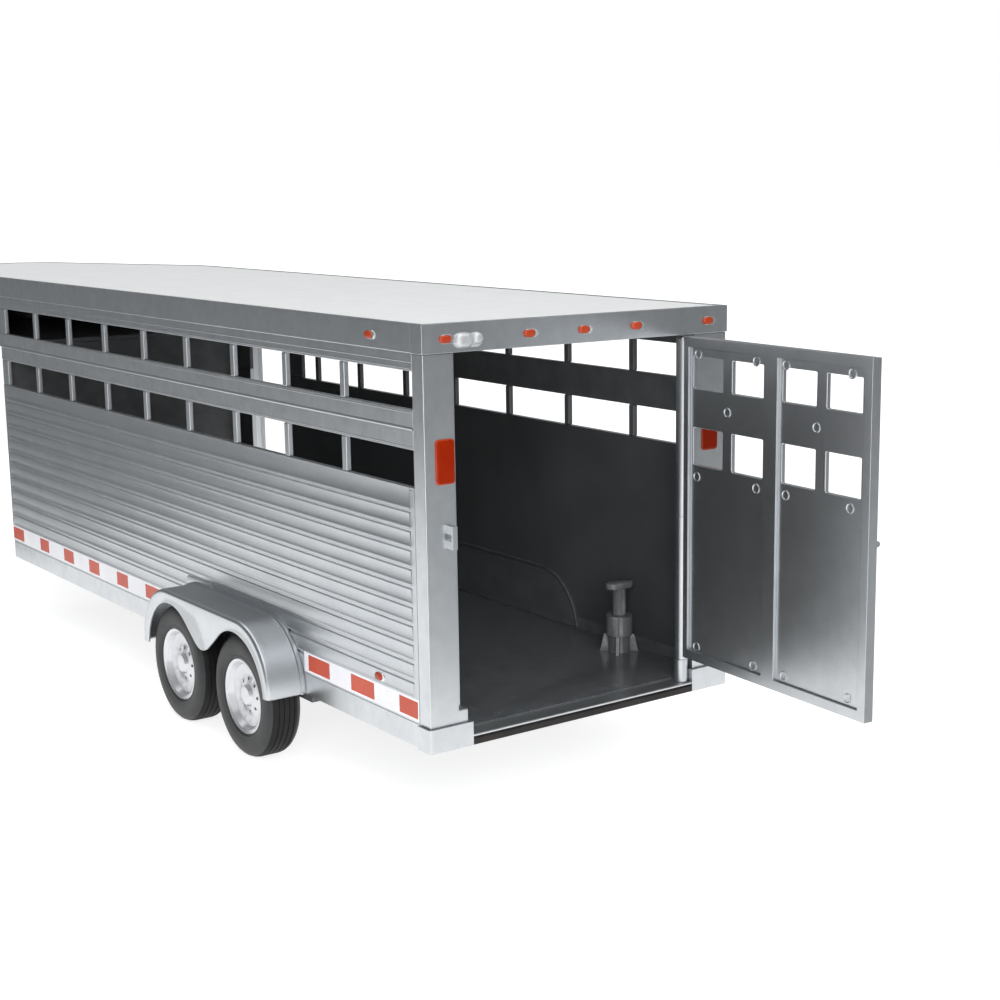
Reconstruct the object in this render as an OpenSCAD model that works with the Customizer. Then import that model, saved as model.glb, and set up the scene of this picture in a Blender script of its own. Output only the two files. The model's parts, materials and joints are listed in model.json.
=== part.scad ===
// Scale model of a gooseneck livestock trailer at 1:20, in millimetres.
// +X points forward to the hitch, +Y to the left side, +Z up.
// The origin is the centre of the ball socket under the gooseneck.
// Inside the modules, x = 0 is the rear face of the rear posts and z = 0 the underside of the rails.

/* [Body] */
// Width of the body over its side walls
body_w = 106.7; // [88:0.1:130]
// Length of the lower body, from the rear posts to the front wall
body_l = 320.6; // [265:0.1:390]
// Height of the body, from the underside of its rails to the top of the roof fascia
body_h = 116.4; // [100:0.1:140]
// Thickness of the moulded walls
wall_t = 1.8; // [1.4:0.1:2.4]
// Top of the floor above the underside of the rails
floor_z = 3.5; // [3:0.1:5]
// Thickness of the floor plate
floor_t = 2; // [1.2:0.1:2.4]
// Height of the plain bottom rails
rail_h = 7; // [6:0.1:9]

/* [Gooseneck] */
// Length of the gooseneck ahead of the front wall
nose_l = 125.4; // [105:0.1:150]
// Depth of the gooseneck, from the fascia's top to its underside
nose_depth = 28.4; // [26:0.1:36]
// Angle of the tapered sides in plan
nose_taper = 25; // [20:1:30]
// Radius of the rounded tip in plan
nose_tip_r = 15.1; // [10:0.1:20]
// Radius of the bend between the straight and the tapered side
nose_bend_r = 40; // [30:1:50]
// Distance of the hitch ball behind the gooseneck's tip
ball_back = 26; // [20:0.5:40]
// Height of the hitch ball's centre above the underside of the rails
ball_z = 22.8; // [18:0.1:30]
// Radius of the socket that takes the hitch ball
socket_r = 2.6; // [2:0.1:3.2]
// Depth of that socket
socket_deep = 6; // [5:0.1:8]
// Outer radius of the neck tube
neck_r = 3.4; // [3:0.1:4.5]
// Radius of the coupler's stem in the neck tube
stem_r = 2.5; // [1.8:0.1:2.8]

/* [Roof] */
// Height of the roof fascia
fascia_h = 7.9; // [6:0.1:10]
// Distance that the fascia stands proud of the walls
fascia_proud = 0.3; // [0.2:0.05:0.6]
// Thickness of the fascia
fascia_t = 1.4; // [1:0.1:1.8]
// Thickness of the roof panel
roof_t = 1.6; // [1.2:0.1:2.4]
// Distance of the roof panel's top below the fascia's top
roof_sunk = 0.2; // [0.1:0.05:0.6]

/* [Windows and siding] */
// Number of windows in each row
win_count = 9; // [5:1:11]
// Height of a window
win_h = 10.2; // [8:0.1:12]
// Width of the bar between two windows
bar_w = 2.5; // [2:0.1:4]
// Extra width of the rearmost window
first_win_extra = 4; // [0:0.5:6]
// Width of the stile at the front end of the window rows
front_stile = 6.1; // [4:0.1:8]
// Distance of the upper windows' tops below the fascia's top
upper_drop = 12.7; // [11.2:0.1:14]
// Distance from the upper windows' tops to the lower windows' tops
row_step = 21; // [19:0.1:24]
// Number of siding slats
slat_count = 10; // [6:1:13]
// Height of the lowest siding groove above the underside of the rails
slat_start = 18.2; // [16:0.1:20]
// Height of a siding groove
groove_h = 0.5; // [0.3:0.1:0.8]
// Depth of a siding groove
groove_d = 0.4; // [0.2:0.1:0.8]
// Plain margin at each end of the siding grooves
slat_margin = 2.2; // [1.5:0.1:4]

/* [Rear frame] */
// Width of a rear post
post_w = 12.35; // [10:0.05:15]
// Depth of a rear post
post_d = 5.4; // [5:0.1:7]
// Height of the bumper blocks
bumper_h = 6.8; // [5.5:0.1:9]
// Distance that the bumper stands behind the posts
bumper_back = 1; // [0.5:0.1:2]
// Distance that a bumper block stands out past the side
bumper_out = 0.85; // [0.3:0.05:1.5]
// Height of the sill between the bumper blocks
sill_h = 3.1; // [2.4:0.1:3.4]

/* [Rear door] */
// Thickness of the door frame
door_t = 3.1; // [2.4:0.1:3.8]
// Thickness of the door's recessed panels
door_panel_t = 1.4; // [1:0.1:2]
// Height of the door's lower edge above the underside of the rails
door_z = 11.5; // [8:0.1:14]
// Clearance round the closed door
door_gap = 0.35; // [0.2:0.05:0.6]
// Width of the door frame's outer members
door_member = 2.9; // [2:0.1:4]
// Width of the door's middle member
door_mullion = 5.4; // [3:0.1:8]
// Lap of the door's free edge over the left post
door_lap = 2.6; // [1.5:0.1:4]
// Outer radius of the hinge tube
hinge_r = 2; // [1.8:0.05:2.4]
// Radius of the hinge pin
hinge_pin_r = 0.8; // [0.6:0.05:1]
// Angle at which the door stands open at rest
door_open = 86.2; // [60:0.1:100]
// Height of the door's upper windows
door_win_h = 9.4; // [8:0.1:11]
// Height of the door's lower windows
door_low_win_h = 11; // [9:0.1:13]

/* [Side door] */
// Distance of the side doorway's front edge behind the front wall
side_front = 13.1; // [10:0.1:16]
// Width of the side doorway
side_w = 35; // [28:0.1:42]
// Width of the plain stile behind the side doorway
side_stile = 12.5; // [8:0.1:16]
// Height of the doorway's sill above the reflective tape
side_sill = 1.2; // [1:0.1:3]
// Outer radius of the side door's hinge barrels
side_hinge_r = 1.2; // [1.1:0.05:1.5]
// Radius of the side door's hinge pins
side_pin_r = 0.6; // [0.5:0.05:0.75]
// Angle at which the side door stands open
side_open = 170; // [90:1:174]

/* [Latch] */
// Radius of the sliding bolt
bolt_r = 0.8; // [0.6:0.05:1]
// Length of the sliding bolt
bolt_l = 22; // [16:0.5:26]
// Travel of the bolt from drawn back to home
bolt_travel = 5; // [4:0.5:6]
// Height of the bolt above the underside of the rails
bolt_z = 59.2; // [50:0.1:66]

/* [Wheels] */
// Diameter of a tyre
tyre_d = 38.8; // [32:0.1:47]
// Width of a tyre
tyre_w = 11.2; // [9:0.1:13.6]
// Diameter of a rim
rim_d = 24.4; // [20:0.1:27]
// Radius of an axle rod
axle_r = 1.25; // [1:0.05:1.6]
// Height of the axles relative to the underside of the rails
axle_z = -3.25; // [-5:0.05:-3]
// Distance of the rear axle from the rear posts
rear_axle_x = 90.5; // [80:0.1:110]
// Gap between the two tyres of a side
tyre_spacing = 7.5; // [5:0.1:12]
// Gap between a tyre and the body side
tyre_gap = 0.4; // [0.3:0.05:1]
// Radial clearance of everything that turns or slides
running_gap = 0.05; // [0.02:0.01:0.1]

/* [Fenders] */
// Thickness of the fender sheet
fender_t = 0.7; // [0.5:0.1:1]
// Clearance between the tyre's side and the fender's skirt
fender_side_gap = 0.35; // [0.3:0.05:1]
// Distance of the fender's end arcs above the axles
fender_rise = 4.55; // [4:0.05:6]
// Clearance behind the rear tyre
fender_rear_gap = 0.5; // [0.4:0.05:2]
// Clearance ahead of the front tyre
fender_front_gap = 4.7; // [1:0.1:6]
// Width of the skirt's overlap over the tyre
skirt_lap = 0.8; // [0:0.1:2]
// Thickness of the arch moulding inside the body
liner_t = 0.8; // [0.5:0.1:1.2]

/* [Lamps and tape] */
// Radius of a marker lens
marker_r = 1.2; // [1:0.1:1.6]
// Distance of the outer rear markers from the side walls
marker_in = 7.3; // [5:0.1:10]
// Distance of the inner rear markers from the centre line
marker_inner_y = 18.8; // [12:0.1:24]
// Height of the reflective tape
tape_h = 6.2; // [5:0.1:6.6]
// Thickness of the reflective tape
tape_t = 0.2; // [0.1:0.05:0.3]
// Width of a tail lamp
tail_w = 6; // [5:0.1:8]
// Height of a tail lamp
tail_h = 12.2; // [10:0.1:14]

/* [Floor boss] */
// Distance of the boss from the rear posts
boss_x = 39.1; // [30:0.1:60]
// Distance of the boss from the inner face of the right wall
boss_in = 7.55; // [6.5:0.05:12]
// Radius of the turn pin's stem
pin_r = 2; // [1.6:0.1:2.4]
// Length of the turn pin's head
pin_head_l = 9.9; // [7:0.1:11]

/* [Landing jack] */
// Distance of the jack ahead of the front wall
jack_ahead = 8.4; // [7:0.1:12]
// Distance of the jack left of the centre line
jack_y = -30; // [-36:1:-10]
// Radius of the jack's leg
jack_leg_r = 2.3; // [1.8:0.1:2.8]
// Radius of the jack's housing
jack_housing_r = 3.4; // [3.3:0.1:4.5]
// Radius of the jack's foot
jack_foot_r = 6.5; // [5:0.1:8]
// Travel of the leg when it is drawn up
jack_travel = 18; // [10:1:24]

/* [Hidden] */
$fn = 64;
eps = 0.01;
half_w = body_w / 2;
inner_w = half_w - wall_t;
nose_z = body_h - nose_depth;
nose_tip_x = body_l + nose_l;
ball_x = nose_tip_x - ball_back;
fascia_z = body_h - fascia_h;
roof_z = body_h - roof_sunk - roof_t;
tip_x = nose_tip_x - nose_tip_r;
bend_x = tip_x - (half_w * cos(nose_taper) - nose_tip_r) / sin(nose_taper);
bend_centre_x = bend_x - nose_bend_r * tan(nose_taper / 2);

upper_top = body_h - upper_drop;
lower_top = upper_top - row_step;
upper_z = upper_top - win_h;
lower_z = lower_top - win_h;
win_w = (body_l - post_d - front_stile - first_win_extra - (win_count - 1) * bar_w) / win_count;
panel_h = lower_z - rail_h;
slat_end = lower_z - 1.5;
slat_pitch = (slat_end - slat_start) / slat_count;

hinge_x = door_t / 2 + door_gap;
hinge_y = -(half_w - post_w) + hinge_r + 1;
door_top = fascia_z - door_gap;
door_h = door_top - door_z;
door_free = half_w - post_w + door_lap - hinge_y;
door_bay_z = door_z + door_member;
door_bay_h = door_h - 2 * door_member;
door_bay_w = (door_free - hinge_r - 2 * door_member - door_mullion) / 2;
rebate_y = half_w - post_w + door_lap + door_gap;
rebate_x = hinge_x + door_t / 2 + door_gap;

bolt_out = -door_t / 2 - bolt_r - 0.4;
bolt_back = 1;
bolt_past = 1.1;
bolt_tip = door_free - bolt_back;
guide_w = 2;
keeper_gap = 0.2;
keeper_off = 1.4;
keeper_w = bolt_travel - bolt_back - keeper_off - bolt_past;
keeper_h = 6.4;
keeper_y = half_w - post_w + door_lap + keeper_off;

axle_spread = tyre_d + tyre_spacing;
axle_xs = [rear_axle_x, rear_axle_x + axle_spread];
tyre_r = tyre_d / 2;
ground_z = axle_z - tyre_r;
tyre_in = half_w + tyre_gap;
tyre_out = tyre_in + tyre_w;
rim_r = rim_d / 2;
axle_end = tyre_out - 4;

fender_r = tyre_r + 1.2;
fender_z = axle_z + fender_rise;
fender_rear_x = axle_xs[0] - tyre_r - fender_rear_gap - fender_t + fender_r;
fender_front_x = axle_xs[1] + tyre_r + fender_front_gap + fender_t - fender_r;
skirt_y = tyre_out + fender_side_gap;
skirt_r = tyre_r - skirt_lap;
skirt_shift_x = 1.6;
skirt_shift_z = 1.8;
skirt_tip_r = 5.6;
fender_cut_z = 0.2;

tape_z = rail_h + 0.6;

side_x1 = body_l - side_front;
side_x0 = side_x1 - side_w;
side_z = tape_z + tape_h + side_sill;
side_hinge_x = side_x1 + 0.8;
side_hinge_y = half_w + side_hinge_r + 0.3;
side_barrel_l = 8;
side_barrel_zs = [side_z + 10, upper_top - 18];

marker_z = body_h - 4.2;
marker_ys = [-half_w + marker_in, -marker_inner_y, 0, marker_inner_y, half_w - marker_in];
marker_side_x = 25.7;
marker_low_z = tape_z + tape_h + 2.2;
boss_y = -(inner_w - boss_in);
jack_x = body_l + jack_ahead;
jack_leg_top = 24;

carriage_t = 1.6;
carriage_margin = 24.3;

// Moves a piece from the body's own frame to the frame of the ball socket.
module place() {
    translate([-ball_x, 0, -ball_z]) children();
}

// Turns a piece made for the left side into the one for the right side.
module side(right) {
    mirror([0, right ? 1 : 0, 0]) children();
}

// A box given by its lowest and highest corners.
module block(low, high) {
    translate(low) cube(high - low);
}

// Extrudes a shape drawn in y and z along x.
module along_x(x0, x1) {
    translate([x0, 0, 0]) rotate([90, 0, 90]) linear_extrude(x1 - x0) children();
}

// Extrudes a shape drawn in x and z along y.
module along_y(y0, y1) {
    translate([0, y1, 0]) rotate([90, 0, 0]) linear_extrude(y1 - y0) children();
}

// Half plan of the gooseneck, drawn inward from the walls by a distance.
function nose_half(d) = concat(
    [for (a = [90 : -nose_taper / 5 : 90 - nose_taper])
        [bend_centre_x + (nose_bend_r - d) * cos(a), half_w - nose_bend_r + (nose_bend_r - d) * sin(a)]],
    [for (k = [0:8]) let (a = (90 - nose_taper) * (1 - k / 8))
        [tip_x + (nose_tip_r - d) * cos(a), (nose_tip_r - d) * sin(a)]]
);

// Plan of the body from x0 to the gooseneck's tip, drawn inward by a distance.
module body_plan(d, x0) {
    left = nose_half(d);
    right = [for (k = [len(left) - 2 : -1 : 0]) [left[k][0], -left[k][1]]];
    polygon(concat([[x0, half_w - d]], left, right, [[x0, -half_w + d]]));
}

// A wall that follows the gooseneck's plan between two distances and two heights.
module nose_band(d_out, d_in, z0, z1) {
    translate([0, 0, z0]) linear_extrude(z1 - z0) intersection() {
        difference() {
            body_plan(d_out, body_l);
            body_plan(d_in, body_l - 10);
        }
        translate([body_l, -body_w]) square([nose_l + 10, 2 * body_w]);
    }
}

module floor_pan() {
    color("dimgray") difference() {
        block([post_d, -inner_w, floor_z - floor_t], [body_l - wall_t, inner_w, floor_z]);
        translate([boss_x, boss_y, 0]) cylinder(r = pin_r + running_gap, h = 2 * floor_z);
        block([boss_x - 5.2, boss_y - 3, 0], [boss_x - 4.6, boss_y + 3, 2 * floor_z]);
    }
}

module rear_sill() {
    y = half_w - post_w - 1;
    color("silver") difference() {
        block([-bumper_back, -y, 0], [post_d, y, sill_h]);
        block([-bumper_back - 1, -y - 1, sill_h - 1.2], [-bumper_back + 0.5, y + 1, sill_h - 0.7]);
    }
}

module bumper_blocks() {
    round_r = 1;
    color("silver") for (right = [false, true]) side(right) {
        block([-bumper_back, half_w - post_w - 1, 0],
              [post_d, half_w + bumper_out - round_r, bumper_h]);
        block([-bumper_back + round_r, half_w, 0],
              [post_d, half_w + bumper_out, bumper_h]);
        translate([-bumper_back + round_r, half_w + bumper_out - round_r, 0])
            cylinder(r = round_r, h = bumper_h);
    }
}

module bottom_rail(right) {
    color("silver") side(right)
        block([post_d, inner_w, 0], [body_l, half_w, rail_h]);
}

// The side doorway, which only the right wall has.
module side_doorway() {
    block([side_x0, inner_w - 1, side_z], [side_x1, half_w + 1, upper_top]);
}

module siding(right) {
    groove_end = right ? side_x0 - slat_margin : body_l - slat_margin;
    color("silver") side(right) difference() {
        block([post_d, inner_w, rail_h], [body_l, half_w, lower_z]);
        for (k = [0:slat_count])
            block([post_d + slat_margin, half_w - groove_d, slat_start + k * slat_pitch],
                  [groove_end, half_w + 1, slat_start + k * slat_pitch + groove_h]);
        if (right) side_doorway();
    }
}

module mid_rail(right) {
    groove_z = (lower_top + upper_z) / 2;
    color("silver") side(right) difference() {
        block([post_d, inner_w, lower_top], [body_l, half_w, upper_z]);
        block([post_d - 1, half_w - groove_d, groove_z], [body_l + 1, half_w + 1, groove_z + groove_h]);
        if (right) side_doorway();
    }
}

module top_rail(right) {
    color("silver") side(right)
        block([post_d, inner_w, upper_top], [body_l, half_w, fascia_z]);
}

module window_bars(right) {
    color("silver") side(right) for (z = [lower_z, upper_z]) {
        for (k = [1 : win_count - 1]) {
            x = post_d + first_win_extra + k * win_w + (k - 1) * bar_w;
            if (!right || x + bar_w < side_x0 - side_stile)
                block([x, inner_w, z], [x + bar_w, half_w, z + win_h]);
        }
        if (right) block([side_x0 - side_stile, inner_w, z], [side_x0, half_w, z + win_h]);
        block([right ? side_x1 : body_l - front_stile, inner_w, z], [body_l, half_w, z + win_h]);
    }
}

module rear_post_left() {
    color("silver") difference() {
        block([0, half_w - post_w, bumper_h], [post_d, half_w, fascia_z]);
        block([-1, half_w - post_w - 1, door_z - 1], [rebate_x, rebate_y, fascia_z + 1]);
    }
}

module rear_post_right() {
    color("silver") block([0, -half_w, bumper_h], [post_d, -half_w + post_w, fascia_z]);
}

module rear_header() {
    out = half_w + fascia_proud;
    color("silver") difference() {
        block([-fascia_proud, -out, fascia_z], [post_d, out, body_h]);
        block([fascia_t - fascia_proud, -out + fascia_t, roof_z], [post_d + 1, out - fascia_t, body_h + 1]);
        translate([hinge_x, hinge_y, fascia_z - 1]) cylinder(r = hinge_pin_r, h = 4);
    }
}

module roof_fascia(right) {
    out = half_w + fascia_proud;
    color("silver") side(right)
        block([post_d, out - fascia_t, fascia_z], [body_l, out, body_h]);
}

module roof_fascia_nose() {
    color("silver") nose_band(-fascia_proud, fascia_t - fascia_proud, fascia_z, body_h);
}

module roof_panel() {
    color("whitesmoke") translate([0, 0, roof_z]) linear_extrude(roof_t)
        body_plan(fascia_t - fascia_proud, fascia_t - fascia_proud);
}

module front_wall() {
    color("silver")
        block([body_l - wall_t, -inner_w, floor_z - floor_t], [body_l, inner_w, nose_z]);
}

module nose_floor() {
    color("silver") translate([0, 0, nose_z]) linear_extrude(wall_t)
        body_plan(wall_t, body_l - wall_t);
}

module nose_wall(right) {
    color("silver") side(right) intersection() {
        nose_band(0, wall_t, nose_z, fascia_z);
        block([body_l - 1, 0, 0], [tip_x, body_w, body_h]);
    }
}

module nose_wall_front() {
    color("silver") intersection() {
        nose_band(0, wall_t, nose_z, fascia_z);
        block([tip_x, -body_w, 0], [nose_tip_x + 1, body_w, body_h]);
    }
}

module neck_tube() {
    flange_t = 1.6;
    bottom = ball_z + 17;
    color("dimgray") difference() {
        union() {
            block([ball_x - 10, -10, nose_z - flange_t], [ball_x + 10, 10, nose_z]);
            translate([ball_x, 0, bottom]) cylinder(r = neck_r, h = nose_z - flange_t - bottom);
        }
        translate([ball_x, 0, bottom - 1]) cylinder(r = stem_r, h = nose_z - bottom - 2);
    }
}

module ball_coupler() {
    head_r = socket_r + 1.8;
    head_top = ball_z + socket_deep / 2 + 5;
    color("dimgray") translate([ball_x, 0, 0]) difference() {
        union() {
            translate([0, 0, ball_z - socket_deep / 2])
                cylinder(r = head_r, h = head_top - ball_z + socket_deep / 2);
            translate([0, 0, head_top - eps]) cylinder(r = stem_r, h = 27);
        }
        translate([0, 0, ball_z - socket_deep / 2 - 1]) cylinder(r = socket_r, h = socket_deep + 1);
    }
}

// Side profile of the fender: two arcs joined by a flat top.
module fender_outline(d) {
    intersection() {
        union() {
            for (x = [fender_rear_x, fender_front_x])
                translate([x, fender_z]) circle(r = fender_r - d);
            translate([fender_rear_x, fender_z])
                square([fender_front_x - fender_rear_x, fender_r - d]);
            translate([fender_rear_x - fender_r + d, fender_cut_z])
                square([fender_front_x - fender_rear_x + 2 * (fender_r - d), fender_z - fender_cut_z]);
        }
        translate([fender_rear_x - 2 * fender_r, fender_cut_z])
            square([fender_front_x - fender_rear_x + 4 * fender_r, 2 * fender_r]);
    }
}

// Skirt of the fender, cut round both wheels, with a rounded tongue between them.
module fender_skirt() {
    mid_x = (axle_xs[0] + axle_xs[1]) / 2 + skirt_shift_x;
    tongue_z = axle_z + skirt_shift_z + tyre_r - 5.8;
    difference() {
        fender_outline(0);
        for (x = axle_xs)
            translate([x + skirt_shift_x, axle_z + skirt_shift_z]) circle(r = skirt_r);
        translate([axle_xs[0] + skirt_shift_x, -fender_r])
            square([axle_spread, fender_r + tongue_z]);
    }
    intersection() {
        translate([mid_x, tongue_z]) circle(r = skirt_tip_r);
        fender_outline(0);
    }
}

module fender(right) {
    color("silver") side(right) {
        along_y(skirt_y - eps, skirt_y + fender_t) fender_skirt();
        along_y(half_w, skirt_y) difference() {
            fender_outline(0);
            fender_outline(fender_t);
            translate([fender_rear_x - fender_r + fender_t, -fender_r])
                square([fender_front_x - fender_rear_x + 2 * (fender_r - fender_t), fender_r + fender_z]);
        }
    }
}

module arch_liners() {
    color("dimgray") for (right = [false, true]) side(right)
        along_y(inner_w - liner_t, inner_w) intersection() {
            fender_outline(0);
            translate([0, floor_z]) square([body_l, body_h]);
        }
}

module axle_carriage() {
    hanger_w = 9;
    hanger_y = inner_w - 12;
    color("dimgray") difference() {
        union() {
            block([axle_xs[0] - carriage_margin, -half_w, -carriage_t],
                  [axle_xs[1] + carriage_margin, half_w, 0]);
            for (x = axle_xs) for (s = [-1, 1])
                block([x - hanger_w / 2, s * hanger_y - 6, axle_z - 3.4],
                      [x + hanger_w / 2, s * hanger_y + 6, -carriage_t + eps]);
        }
        for (x = axle_xs)
            translate([x, half_w + 1, axle_z]) rotate([90, 0, 0]) cylinder(r = axle_r, h = body_w + 2);
    }
}

module axle_rods() {
    color("lightgray") for (x = axle_xs)
        translate([x, axle_end, axle_z]) rotate([90, 0, 0]) cylinder(r = axle_r, h = 2 * axle_end);
}

// A ring about a wheel's axis, from a profile of radius and distance outward.
module wheel(k, right) {
    side(right) translate([axle_xs[k], tyre_in, axle_z]) rotate([-90, 0, 0])
        rotate_extrude($fn = 96) children();
}

module tyre(k, right) {
    crown = 1.2;
    bead_r = rim_r + 0.22 * (tyre_r - rim_r);
    bulge_r = rim_r + 0.42 * (tyre_r - rim_r);
    color([0.2, 0.2, 0.21]) wheel(k, right)
        polygon([
            [rim_r, 0.9], [bead_r, 0.3], [bulge_r, 0], [tyre_r - 0.9, 0.7],
            [tyre_r - 0.25, 2], [tyre_r, tyre_w / 2 - crown], [tyre_r, tyre_w / 2 + crown],
            [tyre_r - 0.25, tyre_w - 2], [tyre_r - 0.9, tyre_w - 0.7],
            [bulge_r, tyre_w], [bead_r, tyre_w - 0.3], [rim_r, tyre_w - 0.9]
        ]);
}

module rim(k, right) {
    lug_circle = 5.2;
    lug_count = 8;
    bore_deep = axle_end - tyre_in + running_gap;
    disc_back = tyre_w - 5.2;
    color("whitesmoke") side(right) translate([axle_xs[k], tyre_in, axle_z]) rotate([-90, 0, 0])
        difference() {
            rotate_extrude($fn = 96) polygon([
                [axle_r + running_gap, 1], [4, 1], [4, disc_back], [rim_r - 1.6, disc_back], [rim_r - 1, 0.9],
                [rim_r, 0.9], [rim_r, tyre_w - 0.9], [rim_r - 0.5, tyre_w - 0.5],
                [rim_r - 1.4, tyre_w - 0.9], [rim_r - 2.4, tyre_w - 2.6], [7, tyre_w - 3.4],
                [3.6, tyre_w - 2.5], [2.8, tyre_w - 1.4], [0, tyre_w - 1], [0, bore_deep],
                [axle_r + running_gap, bore_deep]
            ]);
            for (a = [0 : 360 / lug_count : 359])
                rotate(a) translate([lug_circle, 0, tyre_w - 4]) cylinder(r = 0.55, h = 4, $fn = 24);
        }
}

module lower_knuckle() {
    color("silver") translate([hinge_x, hinge_y, sill_h]) difference() {
        cylinder(r = hinge_r, h = door_z - 1.2 - sill_h);
        translate([0, 0, -1]) cylinder(r = hinge_pin_r, h = door_z);
    }
}

module hinge_pin() {
    color("lightgray") translate([hinge_x, hinge_y, sill_h])
        cylinder(r = hinge_pin_r, h = fascia_z + 3 - sill_h);
}

// Puts a piece of the closed door, drawn from the hinge line, at its resting angle.
module on_door() {
    translate([hinge_x, hinge_y, 0]) rotate(door_open) children();
}

module door_bay(k) {
    s0 = hinge_r + door_member + k * (door_bay_w + door_mullion);
    translate([0, s0, door_bay_z]) children();
}

module door_frame() {
    color("silver") on_door() difference() {
        block([-door_t / 2, hinge_r / 2, door_z], [door_t / 2, door_free, door_top]);
        for (k = [0, 1]) door_bay(k)
            translate([-door_t, 0, 0]) cube([2 * door_t, door_bay_w, door_bay_h]);
        translate([0, 0, door_z - 1]) cylinder(r = hinge_r, h = door_h + 2);
    }
}

module door_panel(k) {
    post = 4.2;
    window_w = (door_bay_w - 2 * 1.4 - post) / 2;
    color("silver") on_door() difference() {
        door_bay(k) translate([-door_panel_t / 2, 0, 0]) cube([door_panel_t, door_bay_w, door_bay_h]);
        door_bay(k) for (j = [0, 1]) {
            s = 1.4 + j * (window_w + post);
            translate([-door_t, s, upper_top - 1 - door_win_h - door_bay_z])
                cube([2 * door_t, window_w, door_win_h]);
            translate([-door_t, s, lower_top - 0.9 - door_low_win_h - door_bay_z])
                cube([2 * door_t, window_w, door_low_win_h]);
        }
    }
}

module door_hinge_tube() {
    bottom = door_z - 1;
    color("silver") on_door() translate([0, 0, bottom]) difference() {
        cylinder(r = hinge_r, h = door_top - bottom);
        translate([0, 0, -1]) cylinder(r = hinge_pin_r + running_gap, h = door_h + 4);
    }
}

module bolt_guides() {
    color("silver") on_door() for (s = [bolt_tip - bolt_l + 4, bolt_tip - 4])
        difference() {
            block([bolt_out - bolt_r - 0.6, s, bolt_z - 2.2], [-door_panel_t / 2, s + guide_w, bolt_z + 2.2]);
            translate([bolt_out, s - 1, bolt_z]) rotate([-90, 0, 0])
                cylinder(r = bolt_r + running_gap, h = guide_w + 2);
        }
}

module latch_bolt() {
    color("lightgray") on_door() {
        translate([bolt_out, bolt_tip - bolt_l, bolt_z]) rotate([-90, 0, 0])
            cylinder(r = bolt_r, h = bolt_l);
        translate([bolt_out, bolt_tip - bolt_l / 2 - 2, bolt_z]) rotate([0, -90, 0])
            cylinder(r = 0.6, h = 4);
    }
}

module latch_keeper() {
    x_out = hinge_x + bolt_out - bolt_r - keeper_gap - 0.6;
    color("silver") difference() {
        block([x_out, keeper_y, bolt_z - keeper_h / 2], [0, keeper_y + keeper_w, bolt_z + keeper_h / 2]);
        translate([hinge_x + bolt_out, keeper_y - 1, bolt_z]) rotate([-90, 0, 0])
            cylinder(r = bolt_r + keeper_gap, h = keeper_w + 2);
    }
}

// Puts a piece of the closed side door, drawn from its hinge line, at its resting angle.
module on_side_door() {
    side(true) translate([side_hinge_x, side_hinge_y, 0]) rotate(-side_open) children();
}

module side_door() {
    face_y = half_w - side_hinge_y;
    edge_x = side_x1 - side_hinge_x - door_gap;
    color("silver") on_side_door() difference() {
        union() {
            block([side_x0 - side_hinge_x + door_gap, face_y - wall_t, side_z + door_gap],
                  [edge_x, face_y, upper_top - door_gap]);
            for (z = side_barrel_zs) {
                block([-6, face_y - eps, z], [edge_x, 0.6, z + side_barrel_l]);
                block([edge_x - eps, -0.6, z], [0, 0.6, z + side_barrel_l]);
                translate([0, 0, z]) cylinder(r = side_hinge_r, h = side_barrel_l);
            }
        }
        translate([0, 0, side_z]) cylinder(r = side_pin_r + running_gap, h = body_h);
    }
}

module side_hinges() {
    lug_t = 1.6;
    lug_gap = 0.3;
    color("silver") side(true) translate([side_hinge_x, side_hinge_y, 0]) for (z = side_barrel_zs) {
        translate([0, 0, z - lug_gap - lug_t / 2])
            cylinder(r = side_pin_r, h = side_barrel_l + 2 * lug_gap + lug_t);
        for (low = [z - lug_gap - lug_t, z + side_barrel_l + lug_gap])
            block([-0.65, half_w - side_hinge_y, low], [3, side_hinge_r - 0.2, low + lug_t]);
    }
}

// Puts a lamp, drawn along +Z from its mounting face, at each marker's place.
module at_markers() {
    for (y = marker_ys)
        translate([-fascia_proud, y, marker_z]) rotate([0, -90, 0]) children();
    for (right = [false, true]) side(right) {
        translate([marker_side_x, half_w + fascia_proud, marker_z]) rotate([-90, 0, 0]) children();
        translate([marker_side_x, half_w, marker_low_z]) rotate([-90, 0, 0]) children();
    }
}

module marker_bezels() {
    color("lightgray") at_markers() difference() {
        cylinder(r = marker_r + 0.5, h = 0.5, $fn = 32);
        translate([0, 0, -1]) cylinder(r = marker_r, h = 2, $fn = 32);
    }
}

module marker_lenses() {
    color("firebrick") at_markers() cylinder(r = marker_r, h = 0.9, $fn = 32);
}

module tail_lamps() {
    centre_y = half_w - 6.35;
    low_z = body_h - 42.8;
    color("firebrick") for (s = [-1, 1])
        block([-0.7, s * centre_y - tail_w / 2, low_z], [0, s * centre_y + tail_w / 2, low_z + tail_h]);
}

module loading_lamp() {
    centre_y = half_w - 14.3;
    lobe_r = 2.4;
    low_z = fascia_z + 0.3;
    color("whitesmoke") translate([-fascia_proud, centre_y, low_z]) {
        block([-0.6, -4.2, 0], [0, 4.2, 5.4]);
        for (s = [-1, 1])
            translate([-0.6 + eps, s * 1.9, 2.7]) rotate([0, -90, 0])
                cylinder(r1 = lobe_r, r2 = lobe_r - 0.8, h = 1.2, $fn = 32);
    }
}

module reflective_tape() {
    rear_end = fender_rear_x - fender_r - 0.5;
    front_start = fender_front_x + fender_r + 0.5;
    color("white") for (right = [false, true]) side(right) {
        block([post_d + 0.4, half_w, tape_z], [rear_end, half_w + tape_t, tape_z + tape_h]);
        block([front_start, half_w, tape_z], [body_l - 0.4, half_w + tape_t, tape_z + tape_h]);
    }
}

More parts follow.
